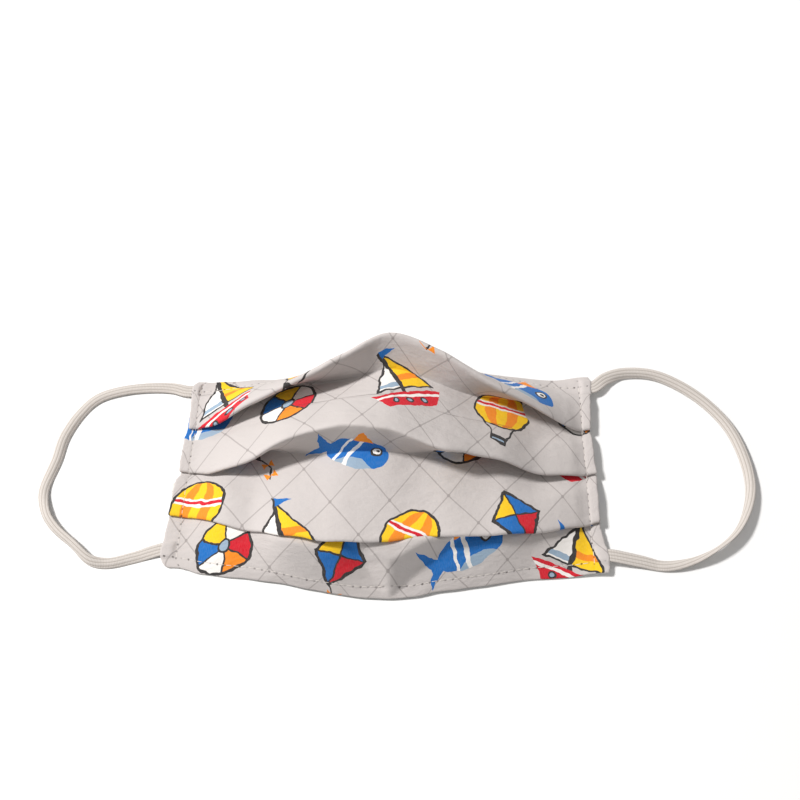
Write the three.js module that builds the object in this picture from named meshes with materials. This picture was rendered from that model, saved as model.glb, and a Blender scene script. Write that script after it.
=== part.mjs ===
// Pleated cloth face mask, lying print side up with its pleats opened in the middle.
// Millimetres, +Z up. X runs along the mask, +Y towards its top hem.
import * as THREE from 'three';
import { mergeVertices } from 'three/addons/utils/BufferGeometryUtils.js';

// Outline of the pleated mask
const TOP_HEM_WIDTH = 195;
const BOTTOM_HEM_WIDTH = 204;
const BOTTOM_HEM_SHIFT = -2;

// Bands of cloth seen between the folds, from the top hem down, at the left and right edge
const BANDS = [
  { left: 27.5, right: 30 },
  { left: 22, right: 22 },
  { left: 21.5, right: 24 },
  { left: 24, right: 22 },
];
const PLEAT_DEPTH = 15;

// Cloth
const CLOTH_WALL = 1;
const LINING_GAP = 0.3;
const FOLD_GAP = 0.3;
const CLOTH_COLUMNS = 40;
const SIDE_CROWDING = 0.35;

// Ear loops of flat ribbed elastic
const ELASTIC_WIDTH = 6;
const ELASTIC_WALL = 1.1;
const ELASTIC_EDGE = 0.35;
const LEFT_LOOP_REACH = 60;
const RIGHT_LOOP_REACH = 69;
const LOOP_GAP = 0.3;
const LOOP_STEPS = 72;

// Colours and roughness
const PRINTED_COTTON = 0xd8d2cc;
const LINING_COTTON = 0xe2e0da;
const ELASTIC_COLOUR = 0xe4ded6;
const COTTON_ROUGHNESS = 0.9;
const ELASTIC_ROUGHNESS = 0.85;

const CLOTH_PAIR = 2 * CLOTH_WALL + LINING_GAP;
const LAYER_PITCH = CLOTH_PAIR + FOLD_GAP;
const REST_HEIGHT = CLOTH_PAIR / 2;
const FOLD_ANGLE = Math.PI;
const STEP_FADE = 4;
const WELD_DISTANCE = 1e-4;

// Sections from the left edge (at -1) to the right edge (at 1).
// rise: degrees by which a band climbs on its way down the mask; rise4 holds for the lowest band
// only where the pleat above hides it.
// open: degrees by which the pleat under that band has opened, 0 being pressed flat.
// bow: how far the top hem stands out there, as a share of the pleat depth, and lift its height.
const SECTIONS = [
  { at: -1.0, rise1: 0, open1: 0, rise2: 0, open2: 0, rise3: 0, open3: 0, rise4: 0, bow: 0, lift: 0 },
  { at: -0.93, rise1: 0, open1: 0, rise2: 0, open2: 0, rise3: 0, open3: 0, rise4: 0, bow: 0, lift: 0 },
  { at: -0.82, rise1: 15, open1: 3, rise2: 5, open2: 2, rise3: 2, open3: 1, rise4: 2.5, bow: 0, lift: 0 },
  { at: -0.65, rise1: 42, open1: 6, rise2: 18, open2: 17, rise3: 6, open3: 2, rise4: 8, bow: 0.02, lift: 0.04 },
  { at: -0.45, rise1: 59, open1: 4, rise2: 27, open2: 58, rise3: 13, open3: 2, rise4: 14, bow: 0.18, lift: 0.2 },
  { at: -0.22, rise1: 71, open1: 24, rise2: 29, open2: 79, rise3: 6, open3: 2, rise4: -4, bow: 0.6, lift: 0.4 },
  { at: 0.0, rise1: 78, open1: 46, rise2: 22, open2: 79, rise3: 3, open3: 6, rise4: -22, bow: 0.85, lift: 0.45 },
  { at: 0.24, rise1: 72, open1: 44, rise2: 19, open2: 50, rise3: 9, open3: 2, rise4: -12, bow: 0.55, lift: 0.4 },
  { at: 0.5, rise1: 57, open1: 23, rise2: 19, open2: 25, rise3: 14, open3: 2, rise4: 6, bow: 0.2, lift: 0.2 },
  { at: 0.7, rise1: 38, open1: 14, rise2: 12, open2: 9, rise3: 9, open3: 2, rise4: 10.5, bow: 0.08, lift: 0.03 },
  { at: 0.85, rise1: 14, open1: 4, rise2: 5, open2: 2, rise3: 2, open3: 1, rise4: 2.5, bow: 0, lift: 0 },
  { at: 0.94, rise1: 0, open1: 0, rise2: 0, open2: 0, rise3: 0, open3: 0, rise4: 0, bow: 0, lift: 0 },
  { at: 1.0, rise1: 0, open1: 0, rise2: 0, open2: 0, rise3: 0, open3: 0, rise4: 0, bow: 0, lift: 0 },
];

// Routes of the ear loops from the top corner to the bottom corner.
// out: distance past the side edge as a share of the loop's reach.
// down: distance below the top hem as a share of the pleated height.
// lift: height above the elastic's rest on the table as a share of its width.
// roll: degrees that the elastic leans, 0 lying flat, above 0 with its outer edge up.
// seam: 1 where the elastic lies level with the middle of the cloth, 0 where it is free of it.
const LEFT_ROUTE = [
  { out: 0.0, down: 0.05, lift: 0, roll: 0, seam: 1 },
  { out: 0.16, down: 0.05, lift: 0, roll: -14, seam: 0.8 },
  { out: 0.5, down: 0.065, lift: 0, roll: -26, seam: 0 },
  { out: 0.74, down: 0.12, lift: 0, roll: -30, seam: 0 },
  { out: 0.88, down: 0.24, lift: 0, roll: -32, seam: 0 },
  { out: 0.97, down: 0.42, lift: 0, roll: -32, seam: 0 },
  { out: 1.0, down: 0.6, lift: 0, roll: -34, seam: 0 },
  { out: 0.955, down: 0.72, lift: 0, roll: -40, seam: 0 },
  { out: 0.82, down: 0.84, lift: 0, roll: -54, seam: 0 },
  { out: 0.63, down: 0.945, lift: 0, roll: -46, seam: 0 },
  { out: 0.44, down: 0.985, lift: 0, roll: -10, seam: 0 },
  { out: 0.2, down: 0.955, lift: 0, roll: 0, seam: 0.6 },
  { out: 0.0, down: 0.925, lift: 0, roll: 0, seam: 1 },
];
const RIGHT_ROUTE = [
  { out: 0.0, down: 0.065, lift: 0, roll: 0, seam: 1 },
  { out: 0.1, down: 0.015, lift: 0, roll: 14, seam: 0.8 },
  { out: 0.22, down: -0.012, lift: 0.05, roll: 34, seam: 0.3 },
  { out: 0.42, down: -0.004, lift: 0.12, roll: 40, seam: 0 },
  { out: 0.62, down: 0.06, lift: 0.15, roll: 30, seam: 0 },
  { out: 0.8, down: 0.165, lift: 0.15, roll: 22, seam: 0 },
  { out: 0.93, down: 0.3, lift: 0.15, roll: 20, seam: 0 },
  { out: 1.0, down: 0.5, lift: 0.18, roll: 24, seam: 0 },
  { out: 0.98, down: 0.64, lift: 0.22, roll: 42, seam: 0 },
  { out: 0.87, down: 0.8, lift: 0.22, roll: 68, seam: 0 },
  { out: 0.73, down: 0.89, lift: 0.16, roll: 78, seam: 0 },
  { out: 0.54, down: 0.95, lift: 0.05, roll: 40, seam: 0 },
  { out: 0.38, down: 0.972, lift: 0, roll: 10, seam: 0.1 },
  { out: 0.2, down: 0.952, lift: 0, roll: 0, seam: 0.6 },
  { out: 0.0, down: 0.93, lift: 0, roll: 0, seam: 1 },
];

function mix(from, to, share) {
  return from + (to - from) * share;
}

// A smooth value between the rows of a table, level where its rows are level.
function readTable(rows, key, name, place) {
  let i = 0;
  while (i < rows.length - 2 && place > rows[i + 1][key]) i += 1;
  const slopeAt = (k) => {
    if (k <= 0 || k >= rows.length - 1) return 0;
    const before = (rows[k][name] - rows[k - 1][name]) / (rows[k][key] - rows[k - 1][key]);
    const after = (rows[k + 1][name] - rows[k][name]) / (rows[k + 1][key] - rows[k][key]);
    return before * after <= 0 ? 0 : (2 * before * after) / (before + after);
  };
  const low = rows[i];
  const high = rows[i + 1];
  const span = high[key] - low[key];
  const t = THREE.MathUtils.clamp((place - low[key]) / span, 0, 1);
  const curve = 1 - t;
  return (1 + 2 * t) * curve * curve * low[name] + t * t * (3 - 2 * t) * high[name]
    + t * curve * curve * span * slopeAt(i) - t * t * curve * span * slopeAt(i + 1);
}

function pleatedHeight(at) {
  return BANDS.reduce((sum, band) => sum + mix(band.left, band.right, (at + 1) / 2), 0);
}

// Pieces of one band: the part lying under the pleat above, the step over the pleat, the part
// that covers the pleat below, and the angle of the step where all is pressed flat.
function bandPieces(index, at) {
  const height = mix(BANDS[index].left, BANDS[index].right, (at + 1) / 2);
  if (index === BANDS.length - 1) {
    return { under: PLEAT_DEPTH, step: height / 2, cover: height / 2, stepAngle: 0 };
  }
  const clear = height - PLEAT_DEPTH - CLOTH_PAIR;
  const run = index === 0 ? clear / 2 : clear;
  return {
    under: (index === 0 ? clear - run : PLEAT_DEPTH) + CLOTH_PAIR / 2,
    step: Math.hypot(run, 2 * LAYER_PITCH),
    cover: PLEAT_DEPTH + CLOTH_PAIR / 2,
    stepAngle: Math.atan2(2 * LAYER_PITCH, run),
  };
}

// How flat a pleat is pressed: 1 where the three layers are parallel, 0 where it stands open.
function pressed(rise, open, nextRise) {
  const spread = Math.min(2 * open + rise - nextRise, FOLD_ANGLE / 2);
  return Math.cos(spread) ** STEP_FADE;
}

// The line through the middle of the cloth at one section, as points [y, z] from hem to hem.
function sectionLine(at) {
  const angle = (name) => THREE.MathUtils.degToRad(readTable(SECTIONS, 'at', name, at));
  const rises = [angle('rise1'), angle('rise2'), angle('rise3')];
  const opens = [angle('open1'), angle('open2'), angle('open3')];
  const hemY = pleatedHeight(at) / 2 + PLEAT_DEPTH * readTable(SECTIONS, 'at', 'bow', at);
  const hemZ = REST_HEIGHT + PLEAT_DEPTH * readTable(SECTIONS, 'at', 'lift', at);
  const points = [[hemY, hemZ]];
  const go = (length, way) => {
    const [y, z] = points[points.length - 1];
    points.push([y - length * Math.cos(way), z + length * Math.sin(way)]);
  };
  let backWay = 0;
  for (let i = 0; i < rises.length; i += 1) {
    const band = bandPieces(i, at);
    const nextRise = i + 1 < rises.length ? rises[i + 1] : rises[i];
    const above = i === 0 ? 1 : pressed(rises[i - 1], opens[i - 1], rises[i]);
    const flat = above * pressed(rises[i], opens[i], nextRise);
    if (i > 0) go(LAYER_PITCH, (backWay + rises[i]) / 2);
    go(band.under, rises[i]);
    go(band.step, rises[i] + band.stepAngle * flat);
    go(band.cover, rises[i]);
    backWay = rises[i] - FOLD_ANGLE + opens[i];
    go(LAYER_PITCH, (rises[i] + backWay) / 2);
    go(PLEAT_DEPTH, backWay);
  }
  addLowestBand(points, go, backWay, angle('rise4'), bandPieces(BANDS.length - 1, at));
  return points;
}

// The lowest band keeps to its own rise where the pleat hides it, then runs straight down to the table.
function addLowestBand(points, go, backWay, hiddenRise, band) {
  go(LAYER_PITCH, (backWay + hiddenRise) / 2);
  go(band.under, hiddenRise);
  const height = points[points.length - 1][1];
  const fall = Math.asin((REST_HEIGHT - height) / (band.step + band.cover));
  go(band.step, fall);
  go(band.cover, fall);
}

// Moves a section line sideways by a distance, with mitred corners.
function offsetLine(line, distance) {
  return line.map((point, i) => {
    const before = line[Math.max(i - 1, 0)];
    const after = line[Math.min(i + 1, line.length - 1)];
    const into = new THREE.Vector2(point[0] - before[0], point[1] - before[1]);
    const out = new THREE.Vector2(after[0] - point[0], after[1] - point[1]);
    if (into.length() === 0) into.copy(out);
    if (out.length() === 0) out.copy(into);
    into.normalize();
    out.normalize();
    const normal = new THREE.Vector2(into.y + out.y, -into.x - out.x).normalize();
    const stretch = distance / normal.dot(new THREE.Vector2(into.y, -into.x));
    return [point[0] + normal.x * stretch, point[1] + normal.y * stretch];
  });
}

// The sides run straight from the top corners to the bottom corners.
function acrossAt(at, y) {
  const down = 0.5 - y / pleatedHeight(at);
  const halfWidth = mix(TOP_HEM_WIDTH, BOTTOM_HEM_WIDTH, down) / 2;
  return at * halfWidth + BOTTOM_HEM_SHIFT * down;
}

// A closed body from rings of equal size, each closed on itself, with strip-built end faces.
// Both sides of the body have their triangles split the same way, so that layers stay parallel.
function loftRings(rings) {
  const size = rings[0].length;
  const positions = rings.flat(2);
  const faces = [];
  for (let r = 0; r + 1 < rings.length; r += 1) {
    for (let k = 0; k < size; k += 1) {
      const a = r * size + k;
      const b = r * size + ((k + 1) % size);
      if (k < size / 2) faces.push(a, b, a + size, b, b + size, a + size);
      else faces.push(a, b, b + size, a, b + size, a + size);
    }
  }
  const last = (rings.length - 1) * size;
  for (let k = 0; k < size / 2 - 1; k += 1) {
    const m = size - 1 - k;
    faces.push(k, m, k + 1, k + 1, m, m - 1);
    faces.push(last + k, last + k + 1, last + m, last + k + 1, last + m - 1, last + m);
  }
  const geometry = new THREE.BufferGeometry();
  geometry.setAttribute('position', new THREE.Float32BufferAttribute(positions, 3));
  geometry.setIndex(faces);
  return geometry;
}

// Columns stand closer together towards the side edges, where the pleats open.
function columnPlace(index) {
  const share = (2 * index) / CLOTH_COLUMNS - 1;
  return mix(share, Math.sin((share * Math.PI) / 2), SIDE_CROWDING);
}

// One layer of cloth between two distances from the middle line.
function clothGeometry(near, far) {
  const rings = [];
  for (let i = 0; i <= CLOTH_COLUMNS; i += 1) {
    const at = columnPlace(i);
    const line = sectionLine(at);
    const ring = offsetLine(line, far).concat(offsetLine(line, near).reverse());
    rings.push(ring.map(([y, z]) => [acrossAt(at, y), y, z]));
  }
  return loftRings(rings);
}

// The elastic's cross-section: flat, with its long edges rounded off.
function elasticSection() {
  const w = ELASTIC_WIDTH / 2;
  const t = ELASTIC_WALL / 2;
  const e = ELASTIC_EDGE;
  return [
    [-w, -t + e], [-w, t - e], [-w + e, t], [0, t], [w - e, t],
    [w, t - e], [w, -t + e], [w - e, -t], [0, -t], [-w + e, -t],
  ];
}

// Where the middle of the elastic runs: on the table, or level with the cloth at its seams.
function routePoints(route, side, reach) {
  const height = pleatedHeight(side);
  const lowest = (roll) => (Math.abs(Math.sin(roll)) * ELASTIC_WIDTH + Math.cos(roll) * ELASTIC_WALL) / 2;
  return route.map((row) => {
    const y = height / 2 - row.down * height;
    const edge = acrossAt(side, y) + side * LOOP_GAP;
    const resting = lowest(THREE.MathUtils.degToRad(row.roll)) + row.lift * ELASTIC_WIDTH;
    const z = Math.max(resting, mix(resting, REST_HEIGHT, row.seam));
    return new THREE.Vector3(edge + side * row.out * reach, y, z);
  });
}

// A strap swept along its route, each section leaning by the roll of the table.
function loopGeometry(route, side, reach) {
  const curve = new THREE.CatmullRomCurve3(routePoints(route, side, reach), false, 'centripetal');
  const outline = elasticSection();
  if (side > 0) outline.reverse();
  const rows = route.map((row, i) => ({ step: i / (route.length - 1), roll: row.roll }));
  const up = new THREE.Vector3(0, 0, 1);
  const rings = [];
  for (let i = 0; i <= LOOP_STEPS; i += 1) {
    const t = i / LOOP_STEPS;
    const centre = curve.getPoint(t);
    const along = curve.getTangent(t).setZ(0).normalize();
    if (i === 0 || i === LOOP_STEPS) along.set(i === 0 ? side : -side, 0, 0);
    const outward = new THREE.Vector3().crossVectors(along, up).multiplyScalar(-side);
    const roll = THREE.MathUtils.degToRad(readTable(rows, 'step', 'roll', t));
    const wide = outward.clone().multiplyScalar(Math.cos(roll)).addScaledVector(up, Math.sin(roll));
    const thick = up.clone().multiplyScalar(Math.cos(roll)).addScaledVector(outward, -Math.sin(roll));
    rings.push(outline.map(([a, b]) => centre.clone()
      .addScaledVector(wide, a).addScaledVector(thick, b).toArray()));
  }
  return loftRings(rings);
}

function piece(name, geometry, color, roughness) {
  const merged = mergeVertices(geometry, WELD_DISTANCE);
  const material = new THREE.MeshStandardMaterial({ color, roughness, metalness: 0 });
  const mesh = new THREE.Mesh(merged, material);
  mesh.name = name;
  return mesh;
}

const clothNear = LINING_GAP / 2;
const clothFar = clothNear + CLOTH_WALL;
const outerCloth = clothGeometry(clothNear, clothFar);
const liningCloth = clothGeometry(-clothFar, -clothNear);
const leftLoop = loopGeometry(LEFT_ROUTE, -1, LEFT_LOOP_REACH);
const rightLoop = loopGeometry(RIGHT_ROUTE, 1, RIGHT_LOOP_REACH);

const mask = new THREE.Group();
mask.add(piece('outer_cloth', outerCloth, PRINTED_COTTON, COTTON_ROUGHNESS));
mask.add(piece('lining_cloth', liningCloth, LINING_COTTON, COTTON_ROUGHNESS));
mask.add(piece('ear_loop_left', leftLoop, ELASTIC_COLOUR, ELASTIC_ROUGHNESS));
mask.add(piece('ear_loop_right', rightLoop, ELASTIC_COLOUR, ELASTIC_ROUGHNESS));

// The origin is the middle of the bottom of the whole mask's box.
const box = new THREE.Box3().setFromObject(mask);
const middle = box.getCenter(new THREE.Vector3());
mask.position.set(-middle.x, -middle.y, -box.min.z);

export default mask;
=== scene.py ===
"""Looks of a pleated cloth face mask: printed cotton over a plain lining, with ribbed ear loops."""
import math
import bpy
import numpy as np
from mathutils import Matrix, Vector, noise
from mathutils.bvhtree import BVHTree


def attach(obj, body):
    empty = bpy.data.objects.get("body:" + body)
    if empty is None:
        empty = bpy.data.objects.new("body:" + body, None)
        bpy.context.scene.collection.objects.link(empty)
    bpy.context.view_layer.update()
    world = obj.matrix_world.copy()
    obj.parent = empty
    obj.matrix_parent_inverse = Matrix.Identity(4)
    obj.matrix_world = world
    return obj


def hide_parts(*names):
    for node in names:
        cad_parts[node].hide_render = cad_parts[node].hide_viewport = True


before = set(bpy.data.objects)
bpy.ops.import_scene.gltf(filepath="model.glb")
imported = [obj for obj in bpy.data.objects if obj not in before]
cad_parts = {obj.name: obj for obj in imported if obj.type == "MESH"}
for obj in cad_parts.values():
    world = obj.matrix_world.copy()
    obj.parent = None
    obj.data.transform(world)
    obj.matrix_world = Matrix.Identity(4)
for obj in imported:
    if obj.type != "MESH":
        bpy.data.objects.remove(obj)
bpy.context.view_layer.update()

MM = 0.001
# The mask's own middle, seen from the part's origin
SHIFT = (-3.36, 0.11, 0.0)

# Camera of the photograph
CAMERA_PLACE = (5.0, -235.1, 584.6)
CAMERA_ELEVATION = 65.0
CAMERA_LENS = 60.1
SENSOR_WIDTH = 36.0

# Cut and pleats of the cloth
TOP_HEM_WIDTH = 195.0
BOTTOM_HEM_WIDTH = 204.0
BOTTOM_HEM_SHIFT = -2.0
BANDS = [(27.5, 30.0), (22.0, 22.0), (21.5, 24.0), (24.0, 22.0)]
PLEAT_DEPTH = 15.0
CAD_PAIR = 2.3
CAD_PITCH = 2.6

# Real cloth thickness
CLOTH = 0.42
CLOTH_GAP = 0.12
PRESSED_PITCH = 1.25
PAIR = 2 * CLOTH + CLOTH_GAP
REST = PAIR / 2 + 0.15
EDGE_ROUNDING = 0.9

# How far the left and the right side edge lie inside a straight one, at marks counted in strips
# and folds from the top hem down: the outer folds come at 3, 9 and 15, the bottom hem at 20
EDGE_SHAPE = [
    (0, 1.6, 0.0),
    (3, 3.6, 2.7),
    (7, 2.7, 2.8),
    (9, 2.0, 2.1),
    (13, 2.4, 2.2),
    (15, 0.0, 2.4),
    (19, 0.1, 2.1),
    (20, -1.6, -1.2),
]
# Rounding of each corner: how far it reaches down the side, and in from it
CORNERS = {"top left": (7.0, 4.0), "top right": (4.0, 2.0), "low left": (8.0, 6.0), "low right": (5.0, 2.2)}
RIGHT_EDGE_LIFT = 2.4
# The pleats lie pressed flat from here to the side edges
FLAT_RIM = 0.91

# The lowest band stands out under its fold: the tip of the bulge, and where it meets the fold
LOW_FOLD_MARKS = (14.9, 16.1)
LOW_BACK_MARKS = (15.95, 17.1)
LOW_BAND_MARK = 17.9
BULGE_TIP = (0.3, -49.7, 17.6)
BULGE_TOP_Y = -42.6
BULGE_HALF_WIDTH = 14.0
BULGE_HEM_Y = -62.0
BULGE_SIDE_SLOPE = 0.75
BULGE_FRONT_SLOPE = 0.5
BULGE_BLEND = 1.6
LAYER_ROOM = 1.7

# Unevenness of the cloth: its height, and how far apart its waves stand
WAVE = (1.1, 38.0)
DENT = (0.4, 17.0)
FINE_DENT = (0.1, 6.5)
EDGE_WOBBLE = (0.45, 7.0)
FINE_EDGE_WOBBLE = (0.2, 2.5)
HEM_WOBBLE = (0.5, 11.0)
HEM_WOBBLE_REACH = 10.0

# Seams
STITCH = 2.8
STITCH_PITCH = 3.3
THREAD_RADIUS = 0.15
SIDE_SEAM = 6.3
HEM_SEAM = 5.3
SEAM_DIP = 0.22
SEAM_WIDTH = 0.9

# Light and floor
FLOOR_REACH = 3.0
FLOOR_COLOUR = (0.9, 0.9, 0.9, 1.0)
SKY_COLOUR = (1.0, 0.99, 0.98, 1.0)
WINDOW_COLOUR = (1.0, 0.985, 0.97)
SKY = 0.39
WINDOW_PLACE = (-1.6, 0.56, 2.04)
WINDOW_SIZE = 0.42
WINDOW_POWER = 78.0

# Mesh fineness
CLOTH_COLUMNS = 150
ROW_STEP = 1.5
HEM_ROW_STEP = 0.9
FOLD_STEPS = 7
CORNER_STEPS = 4
HEM_ROWS = np.array([0.1, 0.3, 0.6, 1.0])
CORNER_REACH = 2.2
FOLD_REACH = 0.75
CREASE_SHARPNESS = 2.4

# Degrees at each section: rise of a band, opening of the pleat under it; bow and lift of the hem
SECTION_NAMES = ("at", "rise1", "open1", "rise2", "open2", "rise3", "open3", "rise4", "bow", "lift")
SECTIONS = [
    (-1.0, 0, 0, 0, 0, 0, 0, 0, 0, 0),
    (-0.93, 0, 0, 0, 0, 0, 0, 0, 0, 0),
    (-0.82, 15, 3, 5, 2, 2, 1, 2.5, 0, 0),
    (-0.65, 42, 6, 18, 17, 6, 2, 8, 0.02, 0.04),
    (-0.45, 59, 4, 27, 58, 13, 2, 14, 0.18, 0.2),
    (-0.22, 71, 24, 29, 79, 6, 2, -4, 0.6, 0.4),
    (0.0, 78, 46, 22, 79, 3, 6, -22, 0.85, 0.45),
    (0.24, 72, 44, 19, 50, 9, 2, -12, 0.55, 0.4),
    (0.5, 57, 23, 19, 25, 14, 2, 6, 0.2, 0.2),
    (0.7, 38, 14, 12, 9, 9, 2, 10.5, 0.08, 0.03),
    (0.85, 14, 4, 5, 2, 2, 1, 2.5, 0, 0),
    (0.94, 0, 0, 0, 0, 0, 0, 0, 0, 0),
    (1.0, 0, 0, 0, 0, 0, 0, 0, 0, 0),
]

# How far the top hem and each outer fold lie nearer to the camera than the pleats alone bring
# them, and where the bottom hem lies
LINE_NAMES = ("at", "top", "fold1", "fold2", "fold3", "hem")
LINES = [
    (-1.0, 1.0, -2.0, -2.0, -1.8, -47.3),
    (-0.9, 1.0, -2.0, -1.0, -0.5, -48.5),
    (-0.82, 1.0, 0.0, 1.0, 1.5, -50.0),
    (-0.74, 1.0, 0.0, 0.5, 3.0, -51.3),
    (-0.65, 1.0, 0.8, 0.0, 2.0, -52.3),
    (-0.55, 2.2, 2.0, -0.5, 1.0, -53.4),
    (-0.45, 3.4, 3.2, 0.0, 2.0, -55.0),
    (-0.33, 4.0, 3.2, -1.5, 0.0, -57.5),
    (-0.22, 4.0, 3.2, -2.0, 0.0, -59.6),
    (-0.1, 3.0, 1.9, -2.2, 0.0, -61.5),
    (0.0, 2.0, 0.9, -2.0, -0.5, -62.0),
    (0.12, 2.4, 1.0, -1.0, -1.5, -61.3),
    (0.24, 2.6, 1.6, -1.0, -0.3, -59.0),
    (0.37, 2.8, 2.6, -2.8, 0.8, -57.1),
    (0.5, 2.8, 2.2, -2.8, 2.5, -55.0),
    (0.7, 2.0, 0.0, -1.0, 2.8, -52.5),
    (0.85, 1.2, 0.0, 1.0, 2.5, -51.5),
    (1.0, 1.0, -1.5, -1.0, -1.0, -50.5),
]
# Strips over which each move holds; it changes evenly between them
MOVE_MARKS = [(0, "top"), (1, "top"), (3, "fold1"), (6, "fold1"), (8, "fold2"), (12, "fold2"),
              (14, "fold3"), (18, "fold3"), (20, "hem")]

# Ear loops
ELASTIC_WIDTH = 6.0
ELASTIC_WALL = 0.95
ELASTIC_RIBS = 4
ELASTIC_TUCK = 4.5
ELASTIC_CURL = 0.34
LEFT_REACH = 60.0
RIGHT_REACH = 69.0
LOOP_GAP = 0.3
LOOP_STEPS = 260
# Each point of a loop: its share of the reach, its share of the way down the side, its lift
# in widths, its roll in degrees, and how far it still lies in the seam
LEFT_ROUTE = [
    (0.0, 0.062, 0, 0, 1),
    (0.128, 0.041, 0, -6, 0.6),
    (0.466, 0.05, 0, -8, 0),
    (0.702, 0.1, 0, -4, 0),
    (0.82, 0.186, 0, 2, 0),
    (0.91, 0.316, 0, 8, 0),
    (0.94, 0.44, 0, 6, 0),
    (0.998, 0.606, 0, -8, 0),
    (0.951, 0.726, 0, -34, 0),
    (0.856, 0.806, 0, -44, 0),
    (0.702, 0.886, 0, -52, 0),
    (0.542, 0.966, 0, -30, 0),
    (0.4, 0.974, 0, -4, 0),
    (0.221, 0.946, 0, 0, 0.4),
    (0.0, 0.905, 0, 0, 1),
]
RIGHT_ROUTE = [
    (0.0, 0.065, 0, 0, 1),
    (0.1, 0.015, 0, 14, 0.8),
    (0.22, -0.012, 0.05, 34, 0.3),
    (0.42, -0.004, 0.12, 40, 0),
    (0.62, 0.06, 0.15, 30, 0),
    (0.8, 0.165, 0.15, 22, 0),
    (0.93, 0.3, 0.15, 20, 0),
    (1.0, 0.5, 0.18, 24, 0),
    (0.98, 0.64, 0.22, 42, 0),
    (0.87, 0.8, 0.22, 68, 0),
    (0.73, 0.89, 0.16, 78, 0),
    (0.54, 0.95, 0.05, 40, 0),
    (0.38, 0.972, 0, 10, 0.1),
    (0.2, 0.952, 0, 0, 0.6),
    (0.0, 0.93, 0, 0, 1),
]


def mix(a, b, share):
    return a + (b - a) * share


def read_table(rows, place, value, at):
    """A smooth value between the rows of a table, level where its rows are level."""
    i = 0
    while i < len(rows) - 2 and at > rows[i + 1][place]:
        i += 1

    def slope(k):
        if k <= 0 or k >= len(rows) - 1:
            return 0.0
        before = (rows[k][value] - rows[k - 1][value]) / (rows[k][place] - rows[k - 1][place])
        after = (rows[k + 1][value] - rows[k][value]) / (rows[k + 1][place] - rows[k][place])
        return 0.0 if before * after <= 0 else 2 * before * after / (before + after)

    low, high = rows[i], rows[i + 1]
    span = high[place] - low[place]
    t = min(max((at - low[place]) / span, 0.0), 1.0)
    s = 1 - t
    return ((1 + 2 * t) * s * s * low[value] + t * t * (3 - 2 * t) * high[value]
            + t * s * s * span * slope(i) - t * t * s * span * slope(i + 1))


def pleated_height(at):
    return sum(mix(left, right, (at + 1) / 2) for left, right in BANDS)


def across_at(at, y):
    """How far along the mask a point lies: the sides run straight from corner to corner."""
    down = 0.5 - y / pleated_height(at)
    return at * mix(TOP_HEM_WIDTH, BOTTOM_HEM_WIDTH, down) / 2 + BOTTOM_HEM_SHIFT * down


def add_object(name, data):
    obj = bpy.data.objects.new(name, data)
    bpy.context.collection.objects.link(obj)
    return obj


def smooth_mesh(name, points, faces):
    mesh = bpy.data.meshes.new(name)
    mesh.from_pydata([tuple(p) for p in points], [], faces)
    mesh.update()
    mesh.polygons.foreach_set("use_smooth", [True] * len(mesh.polygons))
    return mesh


def add_coordinates(mesh, name, u, v):
    """Millimetres on the cloth, kept as a UV map."""
    layer = mesh.uv_layers.new(name=name)
    index = np.zeros(len(mesh.loops), np.int32)
    mesh.loops.foreach_get("vertex_index", index)
    values = np.stack([u[index], v[index]], 1).astype(np.float32)
    layer.data.foreach_set("uv", values.reshape(-1))


# Cloth: the middle line of each section

def pressed(rise, opened, next_rise):
    """1 where the three layers of a pleat are parallel, 0 where it stands open."""
    return math.cos(min(2 * opened + rise - next_rise, math.pi / 2)) ** 4


def section_runs(at):
    """Strips and folds of one section from the top hem down: (kind, length, way in, way out)."""
    value = {n: read_table(SECTIONS, 0, i, at) for i, n in enumerate(SECTION_NAMES)}
    rise = [math.radians(value[f"rise{i}"]) for i in (1, 2, 3)]
    opened = [math.radians(value[f"open{i}"]) for i in (1, 2, 3)]
    share = (at + 1) / 2
    runs = []
    back = 0.0
    flat_above = 1.0
    for i in range(3):
        next_rise = rise[min(i + 1, 2)]
        flat_own = pressed(rise[i], opened[i], next_rise)
        flat = flat_above * flat_own
        pitch = mix(CAD_PITCH, PRESSED_PITCH, flat_own)
        step_pitch = mix(CAD_PITCH, PRESSED_PITCH, flat)
        clear = mix(*BANDS[i], share) - PLEAT_DEPTH - CAD_PAIR
        run = clear / 2 if i == 0 else clear
        under = (clear - run if i == 0 else PLEAT_DEPTH) + CAD_PAIR / 2
        if i > 0:
            runs.append(("fold", mix(CAD_PITCH, PRESSED_PITCH, flat_above), back, rise[i]))
        step_way = rise[i] + math.atan2(2 * step_pitch, run) * flat
        runs.append(("strip", under, rise[i], rise[i]))
        runs.append(("strip", math.hypot(run, 2 * step_pitch), step_way, step_way))
        runs.append(("strip", PLEAT_DEPTH + CAD_PAIR / 2, rise[i], rise[i]))
        back = rise[i] - math.pi + opened[i]
        runs.append(("fold", pitch, rise[i], back))
        runs.append(("strip", PLEAT_DEPTH, back, back))
        flat_above = flat_own
    hidden = math.radians(value["rise4"])
    runs.append(("fold", mix(CAD_PITCH, PRESSED_PITCH, flat_above), back, hidden))
    runs.append(("strip", PLEAT_DEPTH, hidden, hidden))
    start = (pleated_height(at) / 2 + PLEAT_DEPTH * value["bow"], REST + PLEAT_DEPTH * value["lift"])
    height = start[1] + sum(l * math.sin((a + b) / 2) for _, l, a, b in runs)
    lowest = mix(*BANDS[3], share)
    fall = math.asin((REST - height) / lowest)
    runs.append(("strip", lowest, fall, fall))
    return start, runs


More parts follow.
